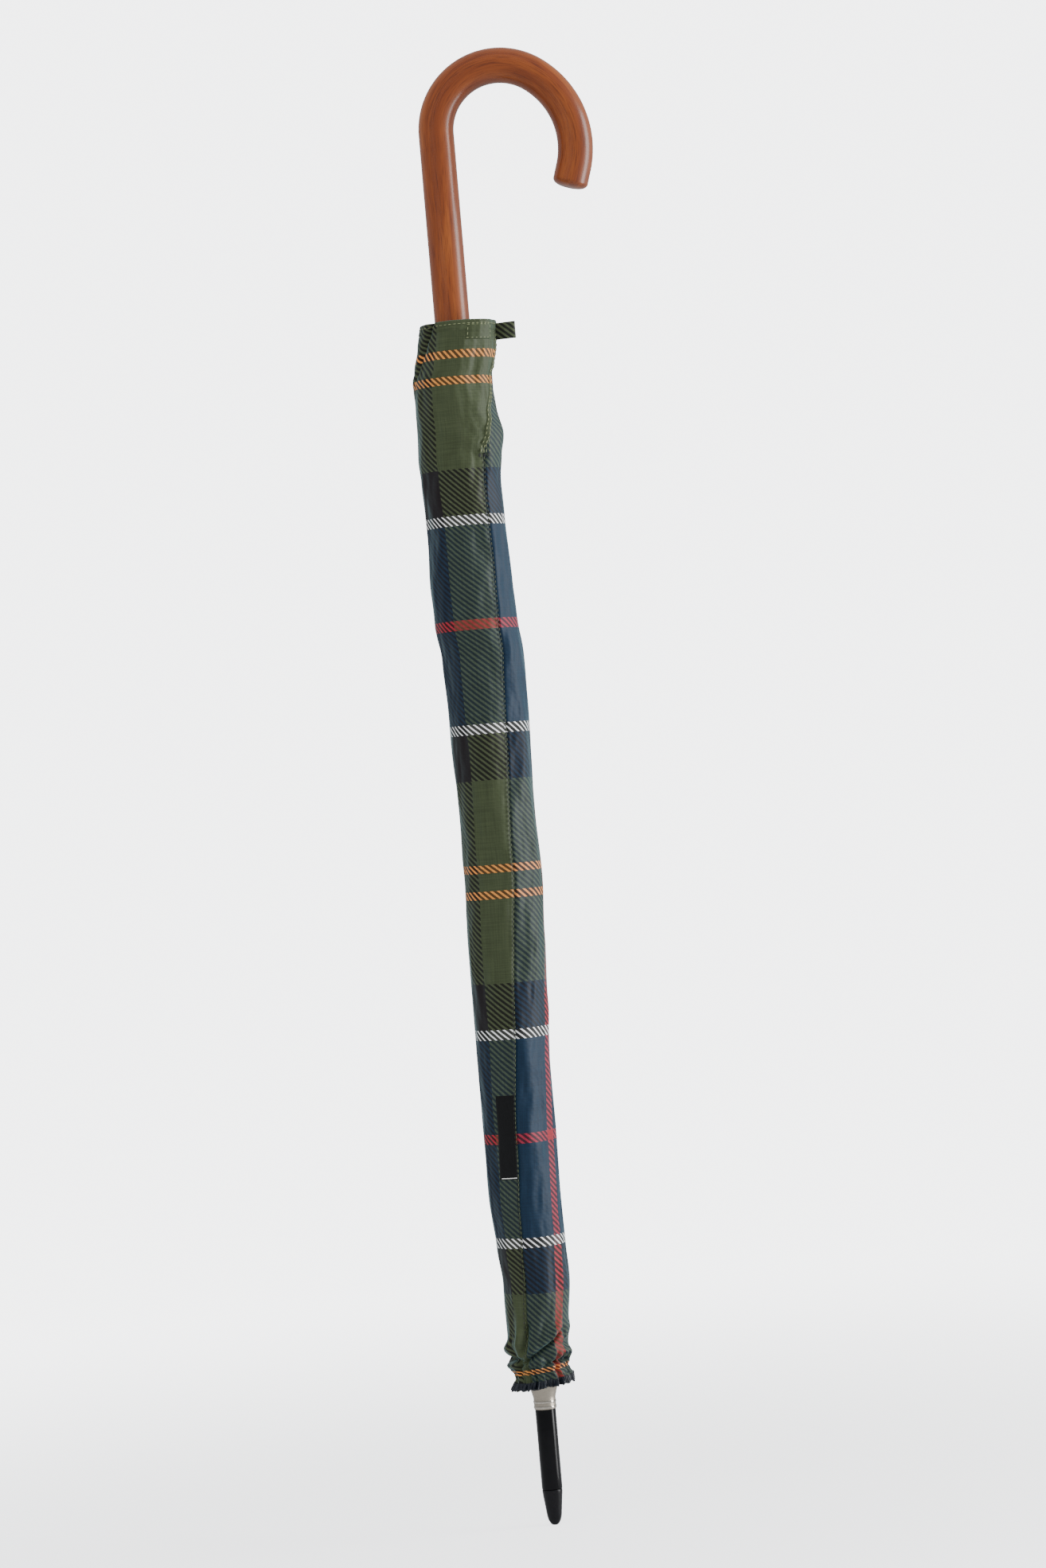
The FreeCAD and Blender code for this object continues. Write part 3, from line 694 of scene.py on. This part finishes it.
# the cut runs a little off the warp: this far at SKEW_Z, and so much more with each metre up
SKEW, SKEW_GROWS, SKEW_Z = 1.5 * MM, 12 * MM, 400 * MM
ROLL_IN, ROLL_WIDTH = 1.0 * MM, 0.8 * MM  # how far the seam's two edges turn inwards
FRAY, FRAY_ROWS = 1.4 * MM, 14  # how uneven the raw edge is, and how many rows of the grid it bends


def cloth_uv(angle, z):
    """The check's place on the flat cut, whose middle lies opposite the seam."""
    share = (angle - read_off(SEAM, min(z, SLIT_Z))) / 360
    height = (z - FRILL_Z) / (MOUTH_Z - FRILL_Z)
    wide = CUT_NARROW + (CUT_WIDE - CUT_NARROW) * min(1.0, height * 1.15)
    skew = SKEW + SKEW_GROWS * (min(z, SLIT_Z) - SKEW_Z)
    drawn_up = CUFF_RISE * faded(z, ELASTIC_Z, CUFF_TOP)
    drawn_up += PINCH_SHARE * max(0.0, min(PINCH_MOST, CUFF_PINCH - z))
    return ((share - 0.5) * wide + CHECK_ACROSS + skew) / SETT, (z - drawn_up - CHECK_UP) / SETT


def row_height(v):
    """Rows lie closer in the cuff than in the plain length above it."""
    part = CUFF_ROWS / SLEEVE_ROWS
    if v < part:
        return FRILL_Z + (CUFF_TOP - FRILL_Z) * v / part
    return CUFF_TOP + (MOUTH_Z - CUFF_TOP) * (v - part) / (1 - part)


def sleeve_place(u, v):
    z = row_height(v)
    angle = sleeve_angle(u, z)
    from_edge = min(u, 1 - u) * math.radians(360 - slit_gap(z)) * read_off(FIT, z, 2) * MM
    sewn = 1 - min(1.0, max(0.0, (z - SLIT_Z) / (4 * MM)))
    spot = sleeve_shape(angle, z, -ROLL_IN * sewn * math.exp(-(from_edge / ROLL_WIDTH) ** 2))
    frayed = 1 - min(1.0, v * SLEEVE_ROWS / FRAY_ROWS)
    ring = ring_at(angle)
    spot.z += frayed * FRAY * noise.noise(ring * 9)
    return spot


def sleeve_flat(u, v):
    z = row_height(v)
    return cloth_uv(sleeve_angle(u, z), z)


mesh = cloth_grid(SLEEVE_COLUMNS, SLEEVE_ROWS, sleeve_place, sleeve_flat)
sleeve = piece("sleeve_cloth", mesh, cover_cloth)


def on_sleeve(made, *nodes, slot="tartan"):
    """Rides with the sleeve, and is pushed down with it when the umbrella opens."""
    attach(made, "sleeve")
    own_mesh(made)
    if nodes:
        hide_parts(*nodes)
    return made


on_sleeve(sleeve, "sleeve")


# ---- hems of the mouth and the slit -------------------------------------------------------------
# The raw edge is turned over twice and lockstitched, so the mouth and both sides of the slit have a
# narrow folded hem, three layers thick, with one row of stitches round the mouth and two down the slit.
HEM_OUT, HEM_IN = 0.45 * MM, -0.6 * MM
MOUTH_HEM, SLIT_HEM = 6 * MM, 3.6 * MM
# spun polyester thread: matt, its tone changing along it
olive_thread = speckled("olive_polyester_thread", "#616844", "#9EA37C", size=0.6 * MM, roughness=0.5)
seam_thread = speckled("dark_olive_polyester_thread", "#3C432B", "#565D40", size=0.6 * MM, roughness=0.5)
dark_thread = speckled("black_polyester_thread", "#121214", "#26262A", size=0.6 * MM, roughness=0.5)


def degrees_of(width, z):
    """The angle that a width takes up round the sleeve."""
    return math.degrees(width / (read_off(FIT, z, 2) * MM))


def slit_edge(z, front):
    """The angle of the slit's front or back edge."""
    return read_off(SEAM, z) + (360 if front else slit_gap(z))


def folded_hem(name, rows, width, where):
    """A turned-over edge: a strip that starts inside, wraps the edge and ends outside."""
    def across_fold(u):
        """How far a point lies from the edge, and how far off the sleeve; its ends are pressed down."""
        side = 1 - 2 * u
        depth = HEM_OUT if side < 0 else HEM_IN
        away = abs(side) ** 1.3
        wrapped = min(1.0, 5 * abs(side))
        pressed = 1 - max(0.0, (away - 0.88) / 0.12) * 0.9
        return width * away - 0.25 * MM * (1 - wrapped), depth * wrapped * pressed

    def place(u, v):
        away, out = across_fold(u)
        return sleeve_shape(*where(v, away), out)

    def flat(u, v):
        return cloth_uv(*where(v, across_fold(u)[0]))

    return piece(name, cloth_grid(20, rows, place, flat), cover_cloth)


def mouth_spot(v, away):
    return sleeve_angle(v, MOUTH_Z - away), MOUTH_Z - away


def slit_spot(front):
    def where(v, away):
        z = SLIT_Z - 1 * MM + (MOUTH_Z - 0.3 * MM - SLIT_Z + 1 * MM) * v
        turn = degrees_of(away, z)
        return slit_edge(z, front) + (-turn if front else turn), z
    return where


mouth_hem = folded_hem("mouth_hem", 240, MOUTH_HEM, mouth_spot)
on_sleeve(mouth_hem, "sleeve_mouth_hem")
for front in (True, False):
    hem = folded_hem("slit_hem_front" if front else "slit_hem_back", 90, SLIT_HEM, slit_spot(front))
    on_sleeve(hem)

# a stitch's length, how far it is to the next one, and the thread's radius
STITCH, STEP, THREAD_R = 2.1 * MM, 2.9 * MM, 0.2 * MM


def sew(name, spots, material, slot="tartan"):
    """Stitches along a line of (angle, height) spots on the sleeve, lying on its surface."""
    points = [sleeve_shape(angle, z, HEM_OUT + 0.12 * MM) for angle, z in spots]
    outs = [(sleeve_shape(angle, z, 5 * MM) - sleeve_shape(angle, z)).normalized() for angle, z in spots]
    mesh = bmesh.new()
    done, due = 0.0, 0.0
    for one, two, out in zip(points, points[1:], outs):
        gap = (two - one).length
        while due <= done + gap:
            middle = one.lerp(two, (due - done) / gap)
            way = (two - one).normalized()
            axes = Matrix((way, out.cross(way).normalized(), out)).transposed().to_4x4()
            size = Matrix.Diagonal((STITCH / 2, THREAD_R, THREAD_R, 1))
            bmesh.ops.create_uvsphere(mesh, u_segments=6, v_segments=5, radius=1.0,
                                      matrix=Matrix.Translation(middle) @ axes @ size)
            due += STEP
        done += gap
    return on_sleeve(piece(name, mesh, material), slot=slot)


def run(start, end, count=40):
    """Spots on a straight line between two (angle, height) spots."""
    return [(start[0] + (end[0] - start[0]) * k / count, start[1] + (end[1] - start[1]) * k / count)
            for k in range(count + 1)]


sew("mouth_stitches", [mouth_spot(k / 300, 2.2 * MM) for k in range(2, 299)], olive_thread)
for front, away in ((True, 0.8), (True, 2.8), (False, 0.8), (False, 2.8)):
    spots = [slit_spot(front)(k / 60, away * MM) for k in range(1, 60)]
    sew("slit_stitches_%s_%d" % ("front" if front else "back", away), spots, olive_thread)
# a bar tack of four rows holds the foot of the slit
foot = read_off(SEAM, SLIT_Z)
for k in range(4):
    z = SLIT_Z - (1.6 + 0.5 * k) * MM
    half = degrees_of(3.2 * MM, z)
    sew("slit_bar_tack_%d" % (k + 1), run((foot - half, z), (foot + half, z)), dark_thread)

# the seam below it, down to the cuff, topstitched through the turned allowance beside it
seam_run = [SLIT_Z - (4 + 4 * k) * MM for k in range(137)]
for name, beside, thread in (
    ("seam_topstitch", 1.2 * MM, dark_thread), ("seam_stitches", 0.4 * MM, seam_thread),
):
    sew(name, [(read_off(SEAM, z) - degrees_of(beside, z), z) for z in seam_run], thread)

# the raw edge below the elastic, overlocked with dark thread; the band's near-black colour over the whole
# frill is also painted shade, standing for the shade under the gathers
overlock_and_painted_shade = speckled("navy_overlock_thread_and_painted_shade", "#04070C", "#0F1826", size=0.8 * MM, roughness=0.5,
                    bump=0.1 * MM, stretch=(1, 1, 2))
OVERLOCK_HIGH = 90.2 * MM
OVERLOCK_OUT, OVERLOCK_IN = 0.5, -0.7  # off the cloth, in millimetres
OVERLOCK_LOOPS = 130


def overlock_place(u, v):
    """The thread's band: down outside the uneven edge, round it and up inside, ruffled at the edge."""
    away = 1 - 2 * v
    depth = OVERLOCK_OUT if away > 0 else OVERLOCK_IN
    ring = ring_at(360 * u)
    low = FRILL_Z - (0.4 + 1.3 * noise.noise(ring * 12)) * MM
    z = OVERLOCK_HIGH + 0.5 * MM * noise.noise(ring * 13) - (OVERLOCK_HIGH - low) * (1 - abs(away)) ** 0.8
    loops = 0.2 * math.sin(u * 2 * math.pi * OVERLOCK_LOOPS + abs(away) * 3)
    ruffle = (1.2 + 3.2 * noise.noise(ring * 9 + Vector((4, 4, 0)))) * (1 - abs(away)) ** 0.7
    return sleeve_shape(360 * u, z, (depth * min(1.0, 4 * abs(away)) + loops + ruffle) * MM)


# a near-black band wrapped round the frill: real overlock thread, and painted shade where the frill lies in
# shadow
mesh = cloth_grid(520, 16, overlock_place, lambda u, v: (u, v))
on_sleeve(piece("cuff_overlock_and_painted_shade", mesh, overlock_and_painted_shade))


# ---- patch, tab and label -----------------------------------------------------------------------
# A patch by the slit holds the closure inside, sewn on by a box of stitches, and a short tab of the twill
# sticks out past the slit. The label is a black damask-woven strip, blank, caught in the seam and sewn
# across its foot.
patch_low, patch_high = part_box("sleeve_patch")
label_low, label_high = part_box("sleeve_label")
tab_low, tab_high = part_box("sleeve_tab")
PATCH_WIDE, PATCH_IN = 18 * MM, 10.5 * MM  # its width, and how far it is from the slit's edge
PATCH_SEWN = 1.0 * MM  # the stitches' distance from its edge
LABEL_WIDE, LABEL_IN = 12 * MM, 0.7 * MM
# damask weave: black with hardly any sheen, its fine ribs running up the label
label_weave = speckled("black_damask_weave", "#050506", "#0C0C0E", size=0.6 * MM, roughness=0.55,
                       bump=0.06 * MM, stretch=(1, 1, 0.25), Specular_IOR_Level=0.22)
white_thread = speckled("white_polyester_thread", "#DCDCD8", "#F4F4F0", size=0.6 * MM, roughness=0.5)


def laid_on(name, start, end, material, lift, *nodes, slot="tartan", slant=0.0):
    """A thin piece on the sleeve between two (angle, height) corners, edges pressed down."""
    def spot(u, v):
        return start[0] + (end[0] - start[0]) * u + slant * (v - 0.5), start[1] + (end[1] - start[1]) * v

    def place(u, v):
        rim = max(abs(2 * u - 1), abs(2 * v - 1)) ** 10
        return sleeve_shape(*spot(u, v), lift * (1 - rim) + 0.04 * MM)

    made = piece(name, cloth_grid(24, 40, place, lambda u, v: cloth_uv(*spot(u, v))), material)
    return on_sleeve(made, *nodes, slot=slot)


front_top = slit_edge(patch_low.z, True)
patch_right = front_top - degrees_of(PATCH_IN, patch_low.z)
patch_left = patch_right - degrees_of(PATCH_WIDE, patch_low.z)
patch = laid_on("closure_patch", (patch_left, patch_low.z), (patch_right, patch_high.z),
                cover_cloth, 0.75 * MM, "sleeve_patch")
sewn_in = degrees_of(PATCH_SEWN, patch_low.z)
left, right = patch_left + sewn_in, patch_right - sewn_in
low, high = patch_low.z + PATCH_SEWN, patch_high.z - PATCH_SEWN
box = [(left, low), (right, low), (right, high), (left, high), (left, low)]
sew("patch_stitches", [spot for one, two in zip(box, box[1:]) for spot in run(one, two)], olive_thread)

label_z = (label_low.z + label_high.z) / 2
label_right = read_off(SEAM, label_z) - degrees_of(LABEL_IN, label_z)
label_left = label_right - degrees_of(LABEL_WIDE, label_z)
slant = read_off(SEAM, label_high.z) - read_off(SEAM, label_low.z)
label = laid_on("seam_label", (label_left, label_low.z), (label_right, label_high.z),
                label_weave, 0.5 * MM, "sleeve_label", slot="label", slant=slant)
# a close row of white stitches across the label's foot
foot_z = label_low.z + 0.9 * MM
foot_left = label_left - slant / 2 + degrees_of(2.4 * MM, foot_z)
mesh = bmesh.new()
for k in range(13):
    spot = sleeve_shape(foot_left + degrees_of(0.75 * MM * k, foot_z), foot_z, 0.75 * MM)
    bmesh.ops.create_uvsphere(mesh, u_segments=6, v_segments=5, radius=0.5 * MM,
                              matrix=Matrix.Translation(spot) @ Matrix.Diagonal((1.1, 1, 0.55, 1)))
on_sleeve(piece("label_thread", mesh, white_thread), slot="label")

TAB_LENGTH, TAB_HEIGHT, TAB_THICK = 13.2 * MM, 10.2 * MM, 1.3 * MM
TAB_CHECK, TAB_CHECK_UP = 76 * MM, 0.08  # where it lies on the check: across, and up in repeats
TAB_CURL, TAB_RISE = 1.1 * MM, 0.03  # how far it bows back, and how much it climbs along its length
TAB_UNDER, TAB_BACK = 4, 0.8 * MM  # it starts this many degrees, and this far, behind the slit's edge
mesh = bmesh.new()
bmesh.ops.create_cube(mesh, size=1.0)
bmesh.ops.subdivide_edges(mesh, edges=mesh.edges[:], cuts=9, use_grid_fill=True)
uv = mesh.loops.layers.uv.new("cloth")
tab_start = sleeve_shape(slit_edge(tab_low.z, True) - TAB_UNDER, (tab_low.z + tab_high.z) / 2)
for face in mesh.faces:
    for loop in face.loops:
        across, up = loop.vert.co.x * TAB_LENGTH, loop.vert.co.z * TAB_HEIGHT
        loop[uv].uv = (TAB_CHECK + across) / SETT, up / SETT + TAB_CHECK_UP
for vert in mesh.verts:
    edge = max(abs(vert.co.x), abs(vert.co.z)) * 2
    thin = 1 - 0.55 * max(0.0, edge - 0.8) / 0.2  # its last fifth is pressed thin
    along = (vert.co.x + 0.5) * TAB_LENGTH
    curl = TAB_CURL * math.sin(along / TAB_LENGTH * 2.2)
    vert.co = tab_start + Vector((along - TAB_BACK, vert.co.y * TAB_THICK * thin - curl,
                                  vert.co.z * TAB_HEIGHT + TAB_RISE * along))
tab = piece("closure_tab", mesh, cover_cloth)
on_sleeve(tab, "sleeve_tab", slot="twill_tape")


# ---- cuff elastic -------------------------------------------------------------------------------
# A flat braid of rubber covered in black polyester runs in a channel inside the cuff. It is stretched
# when it is sewn in, and draws the cloth up in gathers.
elastic_low, elastic_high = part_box("sleeve_cuff_elastic")
elastic_braid = speckled("black_elastic_braid", "#141416", "#2A2A2E", size=0.7 * MM, roughness=0.6,
                         bump=0.08 * MM, stretch=(1, 1, 3))
ELASTIC_IN, ELASTIC_HALF = 1.6 * MM, 0.5 * MM  # behind the cloth, and half the braid's thickness


def elastic_place(u, v):
    angle = 360 * u
    turn = 2 * math.pi * v
    middle = (elastic_low.z + elastic_high.z) / 2
    height = (elastic_high.z - elastic_low.z) / 2 * math.cos(turn)
    inside = sleeve_shape(angle, middle + height, -ELASTIC_IN)
    thick = ELASTIC_HALF * math.sin(turn)
    return inside + ring_at(angle + FRONT) * thick


mesh = cloth_grid(180, 12, elastic_place, lambda u, v: (u, v))
bmesh.ops.remove_doubles(mesh, verts=mesh.verts, dist=2e-6)
bmesh.ops.recalc_face_normals(mesh, faces=mesh.faces)
on_sleeve(piece("cuff_elastic", mesh, elastic_braid), "sleeve_cuff_elastic", slot="elastic")


# ---- tie strap and snap -------------------------------------------------------------------------
# A hemmed strap of the canopy's cloth, sewn by one rib and laid flat along it inside the sleeve, with a
# nickelled press stud at its free end.
strap_low, strap_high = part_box("tie_strap")
STRAP_WIDE, STRAP_LONG = 12 * MM, 130 * MM
STRAP_ROUND = 32  # the degrees that its width takes up
STRAP_OFF = 2.5 * MM  # off the rib line


def strap_place(u, v):
    z = strap_low.z + (strap_high.z - strap_low.z) * v
    angle = math.radians(STRAP_ROUND * (u - 0.5))
    reach = (z - PIVOT_Z) * math.sin(REST_LEAN) + PIVOT_R + STRAP_OFF
    return Vector((reach * math.cos(angle), reach * math.sin(angle), z))


def strap_flat(u, v):
    """The strap is cut from the check's green band, 25 mm from the band's middle."""
    return (25 * MM + STRAP_WIDE * u) / SETT, (20 * MM + STRAP_LONG * v) / SETT


strap = piece("canopy_tie_strap", cloth_grid(10, 60, strap_place, strap_flat), cover_cloth)
strap.modifiers.new("thickness", "SOLIDIFY").thickness = 0.5 * MM
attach(strap, "rib_1")
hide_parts("tie_strap")
finish_node("strap_snap", satin_nickel)


# ---- floor, light and camera --------------------------------------------------------------------
# A pale floor that fades into an even pale room, one large soft light from the right, a weaker one from
# the left, and a level camera with its top leaning as the umbrella leans.
FLOOR_R = 1.4
FADE_FROM, FADE_TO = 0.15, 1.3  # metres from the tip; past the second there is only the room
NEAR_SHARE = 0.5  # how much of the floor shows under the tip


def pale_floor():
    """Matt white that thins out away from the umbrella."""
    material, tree, surface = new_material("pale_floor", Roughness=0.85)
    place = add_node(tree, "TexCoord")
    away = add_node(tree, "VectorMath", {"operation": "LENGTH"}, _0=place.outputs["Object"])
    clear = add_node(tree, "MapRange", {"interpolation_type": "SMOOTHSTEP"},
                     Value=away.outputs["Value"], From_Min=FADE_FROM, From_Max=FADE_TO,
                     To_Min=NEAR_SHARE, To_Max=0.0)
    surface.inputs["Base Color"].default_value = linear("#EDEDEE")
    tree.links.new(clear.outputs[0], surface.inputs["Alpha"])
    return material


mesh = bmesh.new()
bmesh.ops.create_circle(mesh, cap_ends=True, segments=64, radius=FLOOR_R)
piece("floor", mesh, pale_floor(), False)

world = bpy.data.worlds.new("pale_room")
bpy.context.scene.world = world
world.use_nodes = True
tree = world.node_tree
tree.nodes.clear()
# the room is seen bright behind the umbrella and lights it more softly
rays = add_node(tree, "LightPath")
backdrop = add_node(tree, "Background", Color=linear("#EFF0F2"), Strength=5.5)
room = add_node(tree, "Background", Color=linear("#EEF1F5"), Strength=0.75)
seen = add_node(tree, "MixShader", _0=rays.outputs["Is Camera Ray"], _1=room,
                _2=backdrop)
add_node(tree, "OutputWorld", Surface=seen)


def soft_light(name, place, aim, size, power, mirrored=True):
    """A rectangular area light; one that isn't mirrored gives no highlights."""
    lamp = bpy.data.lights.new(name, "AREA")
    lamp.shape = "RECTANGLE"
    lamp.size, lamp.size_y = size
    lamp.energy = power
    made = bpy.data.objects.new(name, lamp)
    bpy.context.scene.collection.objects.link(made)
    made.location = place
    made.rotation_euler = (Vector(aim) - Vector(place)).to_track_quat("-Z", "Y").to_euler()
    made.visible_glossy = mirrored


soft_light("key", (1.7, -0.15, 0.55), aim=(0, 0, 0.45), size=(0.7, 2.0), power=56)
soft_light("fill", (-1.0, -1.8, 1.1), aim=(0, 0, 0.45), size=(1.4, 1.8), power=26, mirrored=False)
soft_light("top", (0.2, -0.4, 2.0), aim=(0, 0, 0.5), size=(1.0, 1.0), power=10, mirrored=False)

VIEW_HEIGHT = 0.9557  # how much of the object's plane the picture's height takes in
DISTANCE = 2.6
LOOK_AT = Vector((0.0189, 0, 0.4514))
CAMERA_LEAN = math.radians(4.9)
eye = bpy.data.cameras.new("camera")
eye.sensor_fit = "VERTICAL"
eye.sensor_height = 24
eye.lens = eye.sensor_height * DISTANCE / VIEW_HEIGHT
camera = bpy.data.objects.new("camera", eye)
bpy.context.scene.collection.objects.link(camera)
level = Matrix.Rotation(math.pi / 2, 4, "X")
leaning = Matrix.Rotation(CAMERA_LEAN, 4, "Y")
camera.matrix_world = Matrix.Translation(LOOK_AT + Vector((0, -DISTANCE, 0))) @ leaning @ level
bpy.context.scene.camera = camera
